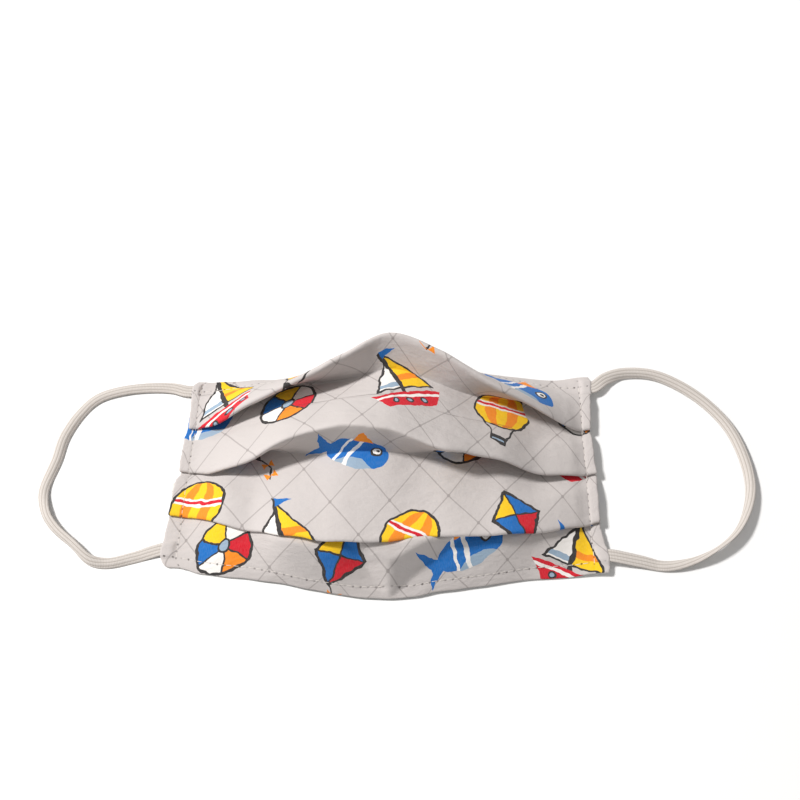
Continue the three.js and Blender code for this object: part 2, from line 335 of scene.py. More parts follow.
def strip_counts():
    """Rows for each strip, the same for all sections."""
    _, runs = section_runs(0.0)
    counts = [max(4, round(length / ROW_STEP)) if kind == "strip" else FOLD_STEPS
              for kind, length, _, _ in runs]
    for hem in (0, -1):
        counts[hem] = round(runs[hem][1] / HEM_ROW_STEP)
    return counts


def fold_path(start, end, way_in, way_out, count):
    """Points around a fold: round where it is pressed flat, a crease where it stands open."""
    turn = abs(way_in - way_out)
    chord = np.linalg.norm(end - start)
    reach = min(chord / 2 / max(math.cos(turn / 2), 1e-6), FOLD_REACH * chord)
    first = start + reach * np.array([-math.cos(way_in), math.sin(way_in)])
    last = end - reach * np.array([-math.cos(way_out), math.sin(way_out)])
    tip = (first + last) / 2
    sharp = mix(CREASE_SHARPNESS, 1.0, min(turn / math.pi, 1.0) ** 4)
    points = []
    for k in range(1, count + 1):
        t = k / count
        weights = (1 - t) ** 2, 2 * sharp * t * (1 - t), t ** 2
        points.append((weights[0] * start + weights[1] * tip + weights[2] * end) / sum(weights))
    return points


def section_line(at, counts):
    """Points (y, z) of the middle line, and the strip or fold that each lies on."""
    (y, z), runs = section_runs(at)
    corners = [np.array([y, z])]
    for _, length, a, b in runs:
        way = (a + b) / 2
        corners.append(corners[-1] + length * np.array([-math.cos(way), math.sin(way)]))
    points, marks = [corners[0]], [0.0]
    for i, (kind, length, a, b) in enumerate(runs):
        start, end = corners[i], corners[i + 1]
        n = counts[i]
        if kind == "fold":
            points.extend(fold_path(start, end, a, b, n))
            marks.extend(i + (k + 1) / n for k in range(n))
            continue
        way = (end - start) / max(length, 1e-9)
        reach = min(CORNER_REACH, length / 3)
        soft_start = i > 0 and runs[i - 1][0] == "strip"
        soft_end = i + 1 < len(runs) and runs[i + 1][0] == "strip"
        first = reach if soft_start else 0.0
        last = length - (reach if soft_end else 0.0)
        if i == 0:
            shares = np.concatenate([HEM_ROWS, np.linspace(HEM_ROWS[-1], last, n)[1:]])
        elif i + 1 == len(runs):
            shares = np.concatenate([np.linspace(first, length - HEM_ROWS[-1], n)[1:],
                                     length - HEM_ROWS[-2::-1], [length]])
        else:
            shares = np.linspace(first, last, n)[1:]
        points.extend(start + way * share for share in shares)
        marks.extend(i + share / length for share in shares)
        if soft_end:
            after = (corners[i + 2] - end) / max(runs[i + 1][1], 1e-9)
            after_reach = min(CORNER_REACH, runs[i + 1][1] / 3)
            p0, p2 = end - way * reach, end + after * after_reach
            for k in range(1, CORNER_STEPS + 1):
                t = k / CORNER_STEPS
                points.append((1 - t) ** 2 * p0 + 2 * t * (1 - t) * end + t * t * p2)
                marks.append(i + 1.0)
    return np.array(points), np.array(marks)


def column_places():
    """Sections across the mask, closer together at the side seams."""
    share = np.linspace(-1, 1, CLOTH_COLUMNS + 1)
    inner = (0.35 * np.sin(share * math.pi / 2) + 0.65 * share) * 0.99
    rim = 1 - np.array([0.006, 0.003, 0.001, 0.0])
    seam = 1 - (SIDE_SEAM + np.linspace(-1.4, 1.4, 7)) / (TOP_HEM_WIDTH / 2)
    away = np.abs(np.abs(inner)[:, None] - seam[None, :]).min(axis=1)
    inner = inner[away > 0.004]
    return np.sort(np.concatenate([-rim, inner, rim, seam, -seam]))


def move_lines(at, line, marks):
    """Each fold and the bottom hem of a section in their own places along the surface."""
    value = {n: read_table(LINES, 0, i, at) for i, n in enumerate(LINE_NAMES)}
    value["hem"] = line[-1, 0] - value["hem"]
    steps = [mark for mark, _ in MOVE_MARKS]
    moves = [value[name] for _, name in MOVE_MARKS]
    moved = line.copy()
    moved[:, 0] -= np.interp(marks, steps, moves)
    return moved


def smooth_noise(x, y, size, seed):
    return noise.noise(Vector((x / size, y / size, seed)))


def middle_surface():
    """The cloth's middle surface (columns x rows x 3), its fabric lengths and row marks, in mm."""
    counts = strip_counts()
    places = column_places()
    grid, down = [], []
    for at in places:
        line, marks = section_line(at, counts)
        line = move_lines(at, line, marks)
        grid.append([(across_at(at, y), y, z) for y, z in line])
        steps = np.linalg.norm(np.diff(line, axis=0), axis=1)
        down.append(np.concatenate([[0], np.cumsum(steps)]))
    return places, np.array(grid), np.array(down), marks


def smooth_step(value):
    value = np.clip(value, 0, 1)
    return value * value * (3 - 2 * value)


def stand_out(grid, marks):
    """The lowest band is pushed out under its fold, to a tip with creases running from it."""
    tip_x, tip_y, tip_z = BULGE_TIP
    fold = np.nonzero((marks > LOW_FOLD_MARKS[0]) & (marks < LOW_FOLD_MARKS[1]))[0]
    back = np.nonzero((marks > LOW_BACK_MARKS[0]) & (marks < LOW_BACK_MARKS[1]))[0]
    band = np.nonzero(marks > LOW_BAND_MARK)[0]
    front_drop = (tip_z - REST) / (tip_y - BULGE_HEM_Y)
    for i in range(grid.shape[0]):
        x = grid[i, band, 0]
        y = grid[i, band, 1]
        z = grid[i, band, 2]
        above = np.maximum(y - tip_y, 0)
        below = np.maximum(tip_y - y, 0)
        half = BULGE_HALF_WIDTH * above / (BULGE_TOP_Y - tip_y)
        aside = np.maximum(np.abs(x - tip_x) - half, 0)
        wished = tip_z + BULGE_FRONT_SLOPE * above - front_drop * below - BULGE_SIDE_SLOPE * aside
        order = np.argsort(grid[i, back, 1])
        cover = np.interp(y, grid[i, back[order], 1], grid[i, back[order], 2]) - LAYER_ROOM
        hidden = y > grid[i, fold, 1].min()
        wished = np.where(hidden, np.minimum(wished, cover), wished)
        blend = np.clip(0.5 + (wished - z) / BULGE_BLEND, 0, 1)
        merged = z + (wished - z) * blend + BULGE_BLEND / 4 * blend * (1 - blend)
        grid[i, band, 2] = np.where(hidden, np.minimum(merged, np.maximum(cover, z)), merged)
    return grid


def shape_edges(grid, places, down, marks):
    """Side edges that step from band to band, rounded corners and slightly uneven hems."""
    to_top = down
    to_bottom = down[:, -1:] - down
    for i, at in enumerate(places):
        side = -1 if at < 0 else 1
        name = "left" if side < 0 else "right"
        steps, insets = zip(*[(row[0], row[1 if side < 0 else 2]) for row in EDGE_SHAPE])
        inset = np.interp(marks, steps, insets) * smooth_step((abs(at) - FLAT_RIM) / (1 - FLAT_RIM))
        for corner, reach_to in ((f"top {name}", to_top[i]), (f"low {name}", to_bottom[i])):
            reach, depth = CORNERS[corner]
            share = np.clip(1 - reach_to / reach, 0, 1)
            inset += depth * (1 - np.sqrt(1 - share ** 2)) * smooth_step((abs(at) - 0.82) / 0.18)
        for j in range(grid.shape[1]):
            x, y = grid[i, j, 0], grid[i, j, 1]
            uneven = EDGE_WOBBLE[0] * smooth_noise(side * 50.0, y, EDGE_WOBBLE[1], 5.7)
            uneven += FINE_EDGE_WOBBLE[0] * smooth_noise(x, y, FINE_EDGE_WOBBLE[1], 9.2)
            grid[i, j, 0] = x - side * (inset[j] + uneven * smooth_step((abs(at) - 0.85) / 0.15))
            hem = min(to_top[i, j], to_bottom[i, j])
            near_hem = max(0.0, 1 - hem / HEM_WOBBLE_REACH)
            grid[i, j, 1] = y + HEM_WOBBLE[0] * near_hem * smooth_noise(x, 3.0, HEM_WOBBLE[1], 2.3)
    return grid


def edge_lift(at):
    """The right edge stands a little off the surface."""
    return RIGHT_EDGE_LIFT * smooth_step((at - 0.8) / 0.2)


def soften(grid, places, down):
    """Slight waves that all layers share, finer dents where the cloth is free, and sewn dips."""
    middle = np.cos(np.clip(np.abs(places), 0, 1) * math.pi / 2) ** 0.7
    lift = edge_lift(places)
    seams = seam_share(places, down)
    for i in range(grid.shape[0]):
        for j in range(grid.shape[1]):
            x, y, z = grid[i, j]
            wave = 0.5 + 0.5 * smooth_noise(x, y, WAVE[1], 3.1)
            dent = smooth_noise(x + 0.6 * y, down[i, j], DENT[1], 8.4)
            fine = smooth_noise(x - 0.4 * y, down[i, j], FINE_DENT[1], 1.9)
            free = min(z / 12.0, 1.0) * middle[i]
            grid[i, j, 2] += WAVE[0] * wave * middle[i]
            grid[i, j, 2] += (DENT[0] * dent + FINE_DENT[0] * fine) * free
            grid[i, j, 2] += lift[i] - SEAM_DIP * seams[i, j] * min(z / 2.0, 1.0)
    return grid


def seam_share(places, down):
    """1 on the lines of stitches along the sides and hems, fading to both sides of them."""
    to_side = (1 - np.abs(places))[:, None] * TOP_HEM_WIDTH / 2 + 0 * down
    to_hem = np.minimum(down, down[:, -1:] - down)
    side = np.exp(-((to_side - SIDE_SEAM) / SEAM_WIDTH) ** 2)
    hem = np.exp(-((to_hem - HEM_SEAM) / SEAM_WIDTH) ** 2)
    return np.maximum(side, hem)


def sewn_in(places, grid):
    """How far the outer layer stands off over the ends of the elastic."""
    lump = np.zeros(grid.shape[:2])
    for side, route in ((-1, LEFT_ROUTE), (1, RIGHT_ROUTE)):
        height = pleated_height(side)
        for end in (route[0], route[-1]):
            y = height / 2 - end[1] * height
            to_side = (1 - side * places)[:, None] * TOP_HEM_WIDTH / 2
            along = smooth_step((ELASTIC_TUCK + 1.6 - to_side) / 2.2)
            across = smooth_step((ELASTIC_WIDTH / 2 + 1.4 - np.abs(grid[:, :, 1] - y)) / 1.5)
            lump = np.maximum(lump, ELASTIC_WALL * along * across)
    return lump


def surface_normals(grid):
    along = np.gradient(grid, axis=0)
    down = np.gradient(grid, axis=1)
    n = np.cross(along, -down)
    n /= np.maximum(np.linalg.norm(n, axis=2, keepdims=True), 1e-9)
    return n


def shell_mesh(name, grid, normals, near, far, places, down, lump=0.0):
    """A closed sheet between two distances from the middle surface, with rounded rims."""
    columns, rows = grid.shape[:2]
    total = down[:, -1:]
    to_side = (1 - np.abs(places))[:, None] * TOP_HEM_WIDTH / 2 + 0 * down
    to_hem = np.minimum(down, total - down)
    border = np.minimum(to_side, to_hem)
    rim = np.clip(border / EDGE_ROUNDING, 0, 1)
    round_off = np.sqrt(np.clip(1 - (1 - rim) ** 2, 0, 1))[:, :, None]
    stand_off = normals * np.reshape(lump + np.zeros(grid.shape[:2]), (columns, rows, 1))
    outside = grid + normals * far * round_off + stand_off
    inside = grid + normals * near * round_off + stand_off
    points = np.concatenate([outside.reshape(-1, 3), inside.reshape(-1, 3)])
    points = (points + np.array(SHIFT)) * MM
    half = columns * rows
    faces = []
    flip = far < near
    for i in range(columns - 1):
        for j in range(rows - 1):
            a = i * rows + j
            quad = (a, a + rows, a + rows + 1, a + 1)
            back = tuple(q + half for q in reversed(quad))
            faces.append(quad if flip else tuple(reversed(quad)))
            faces.append(back if flip else tuple(reversed(back)))
    ring = ([(i, 0) for i in range(columns)] + [(columns - 1, j) for j in range(1, rows)]
            + [(i, rows - 1) for i in range(columns - 2, -1, -1)]
            + [(0, j) for j in range(rows - 2, 0, -1)])
    ids = [i * rows + j for i, j in ring]
    for k, a in enumerate(ids):
        b = ids[(k + 1) % len(ids)]
        side = (a, b, b + half, a + half)
        faces.append(tuple(reversed(side)) if flip else side)
    mesh = smooth_mesh(name, points, faces)
    u = (places[:, None] * TOP_HEM_WIDTH / 2 + 0 * down).reshape(-1)
    v = down.reshape(-1)
    w = (total - down).reshape(-1)
    s = to_side.reshape(-1)
    add_coordinates(mesh, "fabric", np.tile(u, 2), np.tile(v, 2))
    add_coordinates(mesh, "edges", np.tile(s, 2), np.tile(w, 2))
    return add_object(name, mesh)


# Ear loops

def route_points(route, side, reach):
    height = pleated_height(side)
    points = []
    for out, down, lift, roll, seam in route:
        y = height / 2 - down * height
        edge = across_at(side, y) + side * LOOP_GAP
        lean = math.radians(roll)
        rest = (abs(math.sin(lean)) * ELASTIC_WIDTH + math.cos(lean) * ELASTIC_WALL) / 2
        rest += lift * ELASTIC_WIDTH
        seam_height = REST + (CLOTH_GAP + ELASTIC_WALL) / 2 + (RIGHT_EDGE_LIFT if side > 0 else 0.0)
        points.append(Vector((edge + side * out * reach, y, mix(rest, seam_height, seam))))
    for end in (0, -1):
        tucked = points[end].copy()
        tucked.x -= side * (ELASTIC_TUCK + LOOP_GAP)
        if side > 0:
            tucked.z += edge_lift(1 - ELASTIC_TUCK * 2 / TOP_HEM_WIDTH) - RIGHT_EDGE_LIFT
        points.insert(0 if end == 0 else len(points), tucked)
    return points


def smooth_route(points, t):
    """A centripetal Catmull-Rom curve through the points, t from 0 to 1."""
    place = min(t, 0.999999) * (len(points) - 1)
    i = int(place)
    w = place - i
    p1, p2 = points[i], points[i + 1]
    p0 = points[i - 1] if i > 0 else p1 * 2 - p2
    p3 = points[i + 2] if i + 2 < len(points) else p2 * 2 - p1
    d0, d1, d2 = ((b - a).length ** 0.5 for a, b in ((p0, p1), (p1, p2), (p2, p3)))
    t1 = ((p1 - p0) / d0 - (p2 - p0) / (d0 + d1) + (p2 - p1) / d1) * d1
    t2 = ((p2 - p1) / d1 - (p3 - p1) / (d1 + d2) + (p3 - p2) / d2) * d1
    a = 2 * p1 - 2 * p2 + t1 + t2
    b = -3 * p1 + 3 * p2 - 2 * t1 - t2
    return a * w ** 3 + b * w ** 2 + t1 * w + p1


def elastic_outline():
    """Cross-section of the elastic: soft ribs on each face."""
    steps = 24
    half_w, half_t = ELASTIC_WIDTH / 2, ELASTIC_WALL / 2
    top = []
    for k in range(steps + 1):
        s = -1 + 2 * k / steps
        rib = 0.5 - 0.5 * math.cos((s + 1) / 2 * ELASTIC_RIBS * 2 * math.pi)
        edge = math.sqrt(max(0.0, 1 - abs(s) ** 6))
        top.append((s * half_w, half_t * edge * (0.72 + 0.28 * rib)))
    return top + [(a, -b) for a, b in reversed(top[1:-1])]


def curled(a, b, curl):
    """A point of the flat outline once the elastic curls lengthwise, its edges drooping."""
    turn = a * curl
    return math.sin(turn) * (1 / curl + b), (math.cos(turn) - 1) / curl + b * math.cos(turn)


def loop_mesh(name, route, side, reach):
    """One ear loop, and its length along the middle in mm."""
    points = route_points(route, side, reach)
    route = [route[0], *route, route[-1]]
    rows = [(i / (len(route) - 1), row[3], row[4]) for i, row in enumerate(route)]
    outline = elastic_outline()
    up = Vector((0, 0, 1))
    verts, lengths = [], [0.0]
    for i in range(LOOP_STEPS + 1):
        t = i / LOOP_STEPS
        centre = smooth_route(points, t)
        ahead = smooth_route(points, min(t + 1e-3, 1)) - smooth_route(points, max(t - 1e-3, 0))
        ahead.z = 0
        ahead.normalize()
        if i in (0, LOOP_STEPS):
            ahead = Vector((side if i == 0 else -side, 0, 0))
        outward = ahead.cross(up) * -side
        lean = math.radians(read_table(rows, 0, 1, t))
        wide = outward * math.cos(lean) + up * math.sin(lean)
        thick = up * math.cos(lean) - outward * math.sin(lean)
        if i:
            lengths.append(lengths[-1] + (centre - last).length)
        last = centre
        curl = ELASTIC_CURL * (1 - read_table(rows, 0, 2, t)) + 1e-4
        ring = [curled(a, b, curl) for a, b in outline]
        lowest = min(centre.z + wide.z * a + thick.z * b for a, b in ring)
        rise = Vector((0, 0, max(0.0, 0.03 - lowest)))
        verts.extend((centre + wide * a + thick * b + rise + Vector(SHIFT)) * MM for a, b in ring)
    n = len(outline)
    faces = []
    for i in range(LOOP_STEPS):
        for k in range(n):
            a, b = i * n + k, i * n + (k + 1) % n
            quad = (a, b, b + n, a + n)
            faces.append(quad if side > 0 else tuple(reversed(quad)))
    faces.append(tuple(range(n)) if side < 0 else tuple(reversed(range(n))))
    end = LOOP_STEPS * n
    faces.append(tuple(end + k for k in (reversed(range(n)) if side < 0 else range(n))))
    mesh = smooth_mesh(name, verts, faces)
    u = np.tile(np.array([a for a, _ in outline]), LOOP_STEPS + 1)
    v = np.repeat(np.array(lengths), n)
    add_coordinates(mesh, "fabric", u, v)
    return add_object(name, mesh), lengths[-1]


# Materials

class Nodes:
    """Short names for the shader nodes of one material."""

    def __init__(self, name):
        self.material = bpy.data.materials.new(name)
        self.material.use_nodes = True
        self.tree = self.material.node_tree
        self.tree.nodes.clear()

    def node(self, kind, **settings):
        made = self.tree.nodes.new(kind)
        for key, value in settings.items():
            setattr(made, key, value)
        return made

    def put(self, socket, value):
        if isinstance(value, bpy.types.NodeSocket):
            self.tree.links.new(value, socket)
        elif value is not None:
            socket.default_value = value

    def math(self, operation, a, b=None, c=None):
        made = self.node("ShaderNodeMath", operation=operation)
        for socket, value in zip(made.inputs, (a, b, c)):
            self.put(socket, value)
        return made.outputs[0]

    def vector(self, operation, a, b=None):
        made = self.node("ShaderNodeVectorMath", operation=operation)
        self.put(made.inputs[0], a)
        self.put(made.inputs[1], b)
        return made.outputs["Value" if operation in ("LENGTH", "DOT_PRODUCT") else "Vector"]

    def split(self, vector):
        made = self.node("ShaderNodeSeparateXYZ")
        self.put(made.inputs[0], vector)
        return made.outputs[0], made.outputs[1]

    def uv(self, name):
        return self.node("ShaderNodeUVMap", uv_map=name).outputs[0]

    def blend(self, base, ink, share):
        made = self.node("ShaderNodeMix", data_type="RGBA")
        self.put(made.inputs["Factor"], share)
        self.put(made.inputs[6], base)
        self.put(made.inputs[7], ink)
        return made.outputs[2]

    def noise(self, vector, scale, detail=2.0, roughness=0.5):
        made = self.node("ShaderNodeTexNoise")
        self.put(made.inputs["Vector"], vector)
        self.put(made.inputs["Scale"], scale)
        self.put(made.inputs["Detail"], detail)
        self.put(made.inputs["Roughness"], roughness)
        return made.outputs["Fac"]

    def stretch(self, vector, x, y):
        return self.vector("MULTIPLY", vector, (x, y, 1.0))

    def ramp(self, value, low, high, to_low=0.0, to_high=1.0):
        made = self.node("ShaderNodeMapRange", clamp=True)
        for socket, v in zip(made.inputs, (value, low, high, to_low, to_high)):
            self.put(socket, v)
        return made.outputs[0]

    def bump(self, height, distance, strength=1.0, normal=None):
        made = self.node("ShaderNodeBump")
        self.put(made.inputs["Strength"], strength)
        self.put(made.inputs["Distance"], distance)
        self.put(made.inputs["Height"], height)
        self.put(made.inputs["Normal"], normal)
        return made.outputs[0]

    def finish(self, colour, roughness, normal, sheen=0.0):
        shader = self.node("ShaderNodeBsdfPrincipled")
        self.put(shader.inputs["Base Color"], colour)
        self.put(shader.inputs["Roughness"], roughness)
        self.put(shader.inputs["Normal"], normal)
        self.put(shader.inputs["Specular IOR Level"], 0.2)
        self.put(shader.inputs["Sheen Weight"], sheen)
        self.put(shader.inputs["Sheen Roughness"], 0.6)
        out = self.node("ShaderNodeOutputMaterial")
        self.tree.links.new(shader.outputs[0], out.inputs["Surface"])
        return self.material


def linear(red, green, blue):
    """A display colour, 0 to 255, as light."""
    values = []
    for v in (red, green, blue):
        v /= 255
        values.append(v / 12.92 if v <= 0.04045 else ((v + 0.055) / 1.055) ** 2.4)
    return (*values, 1.0)


COTTON = linear(201, 194, 191)
COTTON_SHADE = linear(196, 190, 188)
LATTICE = linear(150, 143, 141)
RED = linear(208, 22, 42)
YELLOW = linear(248, 200, 24)
ORANGE = linear(242, 140, 30)
BLUE = linear(22, 108, 186)
CHARCOAL = linear(52, 50, 50)
WHITE = linear(240, 236, 232)
MIST = linear(150, 172, 192)
LINING = linear(226, 222, 216)
LINING_THREAD = linear(188, 186, 184)
LINING_CREAM = linear(232, 220, 200)
ELASTIC = linear(208, 201, 195)
ELASTIC_SHADE = linear(190, 182, 174)
# Painted shade for the grooves between the elastic's ribs
ELASTIC_GROOVE_SHADE = linear(160, 151, 142)
THREAD = linear(228, 222, 216)
THREAD_SHADE = linear(205, 198, 192)
# Painted shade for the needle holes of the seams
NEEDLE_HOLE_SHADE = linear(70, 62, 58)

LATTICE_WIDTH = 25.6
LATTICE_HEIGHT = 33.0
LATTICE_LINE = 0.55
LATTICE_DOT = 0.75
LATTICE_START = (1.7, 1.2)

WEAVE_PITCH = 0.36
KNIT_PITCH = 0.7


def lattice(n, uv):
    """How much of the grey diamond lattice covers a place on the cloth."""
    u, v = n.split(uv)
    a = n.math("DIVIDE", n.math("SUBTRACT", u, LATTICE_START[0]), LATTICE_WIDTH)
    b = n.math("DIVIDE", n.math("SUBTRACT", v, LATTICE_START[1]), LATTICE_HEIGHT)
    scale = LATTICE_WIDTH * LATTICE_HEIGHT / math.hypot(LATTICE_WIDTH, LATTICE_HEIGHT)
    near = []
    for way in ("ADD", "SUBTRACT"):
        place = n.math(way, a, b)
        near.append(n.math("MULTIPLY", n.math("PINGPONG", place, 0.5), scale))
    line = n.math("MINIMUM", near[0], near[1])
    on_line = n.math("LESS_THAN", line, LATTICE_LINE / 2)
    dot = n.math("SQRT", n.math("ADD", n.math("POWER", near[0], 2.0), n.math("POWER", near[1], 2.0)))
    on_dot = n.math("LESS_THAN", dot, LATTICE_DOT)
    return n.math("MAXIMUM", n.math("MULTIPLY", on_line, 0.62), n.math("MULTIPLY", on_dot, 0.8))


class Ink:
    """Flat shapes in millimetres on the cloth, printed one over the other."""

    def __init__(self, nodes, place, base, kind):
        self.n = nodes
        self.place = place
        self.colour = base
        self.kind = kind
        self.on = None

    def choose(self, number):
        self.on = self.n.math("COMPARE", self.kind, float(number), 0.2)

    def circle(self, x, y, radius):
        away = self.n.vector("SUBTRACT", self.place, (x, y, 0.0))
        return self.n.math("SUBTRACT", self.n.vector("LENGTH", away), radius)

    def oval(self, x, y, wide, tall):
        away = self.n.vector("SUBTRACT", self.place, (x, y, 0.0))
        away = self.n.vector("MULTIPLY", away, (1.0 / wide, 1.0 / tall, 0.0))
        share = self.n.math("SUBTRACT", self.n.vector("LENGTH", away), 1.0)
        return self.n.math("MULTIPLY", share, min(wide, tall))

    def polygon(self, *corners):
        """Distance to a convex outline, its corners counted anticlockwise."""
        far = None
        for k, (x0, y0) in enumerate(corners):
            x1, y1 = corners[(k + 1) % len(corners)]
            size = math.hypot(x1 - x0, y1 - y0)
            normal = ((y1 - y0) / size, -(x1 - x0) / size, 0.0)
            away = self.n.vector("DOT_PRODUCT", self.place, normal)
            away = self.n.math("SUBTRACT", away, normal[0] * x0 + normal[1] * y0)
            far = away if far is None else self.n.math("MAXIMUM", far, away)
        return far

    def line(self, x0, y0, x1, y1, width):
        dx, dy = x1 - x0, y1 - y0
        size = math.hypot(dx, dy)
        nx, ny = -dy / size * width / 2, dx / size * width / 2
        return self.polygon((x0 - nx, y0 - ny), (x1 - nx, y1 - ny), (x1 + nx, y1 + ny), (x0 + nx, y0 + ny))

    def inside(self, *shapes):
        far = shapes[0]
        for shape in shapes[1:]:
            far = self.n.math("MAXIMUM", far, shape)
        return far

    def fill(self, shape, colour, grow=0.0):
        cover = self.n.math("LESS_THAN", shape, grow)
        cover = self.n.math("MULTIPLY", cover, self.on)
        self.colour = self.n.blend(self.colour, colour, cover)

    def outline(self, shape, width, colour=CHARCOAL):
        cover = self.n.math("LESS_THAN", self.n.math("ABSOLUTE", shape), width / 2)
        cover = self.n.math("MULTIPLY", cover, self.on)
        self.colour = self.n.blend(self.colour, colour, cover)


# Where each motif stands on the flat cloth: across, down, degrees turned, kind
MOTIF_REACH = 27.0
MOTIFS = [
    (-78, 14, 20, 0),
    (-38, 20, -30, 1),
    (12, 12, 10, 2),
    (62, 18, -18, 3),
    (-88, 58, 12, 3),
    (-46, 62, -12, 4),
    (4, 58, 28, 0),
    (52, 64, -8, 1),
    (90, 52, 30, 4),
    (-66, 104, 35, 2),
    (-14, 108, -20, 3),
    (34, 104, 14, 4),
    (80, 104, -26, 0),
    (-86, 140, -14, 1),
    (-44, 152, 16, 0),
    (8, 156, -34, 1),
    (58, 150, 20, 2),
    (94, 158, -10, 3),
    (-70, 190, 8, 4),
    (-20, 194, -16, 2),
    (36, 192, 24, 3),
    (82, 192, -12, 0),
]


def motif_places(n, uv):
    """The motif nearest to a place: local millimetres, turned upright, and its kind."""
    place = (1000.0, 1000.0, 0.0)
    kind = -1.0
    for across, down, turn, number in MOTIFS:
        away = n.vector("SUBTRACT", uv, (across, down, 0.0))
        inside = n.math("LESS_THAN", n.vector("LENGTH", away), MOTIF_REACH)
        turned = n.node("ShaderNodeVectorRotate", rotation_type="Z_AXIS")
        n.put(turned.inputs["Vector"], away)
        n.put(turned.inputs["Angle"], math.radians(turn))
        chosen = n.node("ShaderNodeMix", data_type="VECTOR")
        n.put(chosen.inputs["Factor"], inside)
        n.put(chosen.inputs[4], place)
        n.put(chosen.inputs[5], turned.outputs[0])
        place = chosen.outputs[1]
        number_chosen = n.node("ShaderNodeMix", data_type="FLOAT")
        n.put(number_chosen.inputs["Factor"], inside)
        n.put(number_chosen.inputs[2], kind)
        n.put(number_chosen.inputs[3], float(number))
        kind = number_chosen.outputs[0]
    return n.vector("MULTIPLY", place, (1.0, -1.0, 0.0)), kind


def sailboat(ink):
    ink.choose(0)
    sail = ink.polygon((0.5, -5), (15, -5), (0.5, 17))
    jib = ink.polygon((-0.5, -5), (-0.5, 13), (-12.5, -5))
    ink.fill(sail, YELLOW)
    ink.fill(ink.inside(sail, ink.line(0, 1.5, 18, 1.5, 3.4)), ORANGE)
    ink.outline(sail, 1.0)
    ink.fill(jib, WHITE)
    ink.fill(ink.inside(jib, ink.line(-14, -2.5, 0, -2.5, 2.4)), MIST)
    ink.outline(jib, 1.0)
    ink.fill(ink.line(0, -8, 0, 19.5, 1.9), CHARCOAL)
    ink.fill(ink.polygon((0.6, 19.4), (0.6, 15.6), (7, 17.6)), BLUE, 0.3)
    hull = ink.polygon((-17, -7.5), (-11.5, -16), (12, -16), (18, -7.5))
    ink.fill(hull, RED)
    ink.fill(ink.inside(hull, ink.line(-20, -9.9, 20, -9.9, 1.5)), WHITE)
    for x in (-7, 0, 7):
        port = ink.circle(x, -12.8, 1.4)
        ink.fill(port, MIST)
        ink.outline(port, 0.8)


def balloon(ink):
    ink.choose(1)
    bag = ink.circle(0, 5, 12.5)
    ink.fill(bag, YELLOW)
    ink.fill(ink.oval(0, 5, 7.6, 12.5), ORANGE)
    ink.fill(ink.oval(0, 5, 2.6, 12.5), YELLOW)
    ink.fill(ink.inside(bag, ink.line(-14, 7, 14, 7, 3.4)), WHITE)
    ink.fill(ink.inside(bag, ink.line(-14, 7, 14, 7, 1.4)), RED)
    ink.outline(bag, 1.2)
    for x in (-1, 1):
        ink.fill(ink.line(7.5 * x, -5.5, 3.2 * x, -13, 0.8), CHARCOAL)
    basket = ink.polygon((-4, -13), (-3.2, -18.5), (3.2, -18.5), (4, -13))
    ink.fill(basket, CHARCOAL)
    ink.fill(ink.line(-2.6, -15.6, 2.6, -15.6, 1.0), MIST)


def kite(ink):
    ink.choose(2)
    body = ink.polygon((0, 17), (-11, 4), (0, -13), (11, 4))
    ink.fill(body, BLUE)
    ink.fill(ink.polygon((0, 17), (-11, 4), (0, 4)), YELLOW)
    ink.fill(ink.polygon((0, 4), (0, -13), (11, 4)), RED)
    ink.outline(body, 1.3)
    ink.fill(ink.line(0, 17, 0, -13, 0.8), CHARCOAL)
    ink.fill(ink.line(-11, 4, 11, 4, 0.8), CHARCOAL)
    ink.fill(ink.line(0, -13, 4, -19, 0.8), CHARCOAL)
    ink.fill(ink.line(4, -19, 0, -24, 0.8), CHARCOAL)
    for x, y in ((3, -17.4), (1.6, -22.4)):
        ink.fill(ink.polygon((x, y), (x + 3.2, y - 1.6), (x + 3.2, y + 1.8)), ORANGE)
        ink.fill(ink.polygon((x, y), (x - 3.2, y + 1.6), (x - 3.2, y - 1.8)), ORANGE)


def fish(ink):
    ink.choose(3)
    ink.fill(ink.polygon((-10, 0), (-20, 8), (-17, 0)), BLUE, 0.4)
    ink.fill(ink.polygon((-10, 0), (-17, 0), (-20, -8)), BLUE, 0.4)
    body = ink.oval(1, 0, 14.5, 8.8)
    ink.fill(body, BLUE)
    ink.fill(ink.inside(body, ink.circle(2, -17, 13.4)), MIST)
    ink.fill(ink.inside(body, ink.line(-3, -10, 1, 10, 2.0)), WHITE)
    ink.fill(ink.inside(body, ink.line(-8, -10, -4, 10, 1.4)), WHITE)
    ink.fill(ink.polygon((-3, 8), (5, 8), (-1, 13)), ORANGE, 0.5)
    eye = ink.circle(9, 2.2, 2.4)
    ink.fill(eye, WHITE)
    ink.outline(eye, 0.9)
    ink.fill(ink.circle(9.4, 2.2, 1.0), CHARCOAL)


def ball(ink):
    ink.choose(4)
    whole = ink.circle(0, 0, 12.5)
    ink.fill(whole, RED)
    for turn, colour in ((20, WHITE), (80, YELLOW), (140, BLUE), (200, WHITE), (260, ORANGE)):
        corners = [(0.0, 0.0)]
        for step in (0, 60):
            a = math.radians(turn + step)
            corners.append((30 * math.cos(a), 30 * math.sin(a)))
        ink.fill(ink.inside(whole, ink.polygon(*corners)), colour)
    for turn in range(0, 360, 60):
        a = math.radians(turn + 20)
        ink.fill(ink.line(0, 0, 12.3 * math.cos(a), 12.3 * math.sin(a), 0.9), CHARCOAL)
    ink.outline(whole, 1.3)
    ink.fill(ink.circle(0, 0, 2.6), MIST)
    ink.outline(ink.circle(0, 0, 2.6), 0.9)


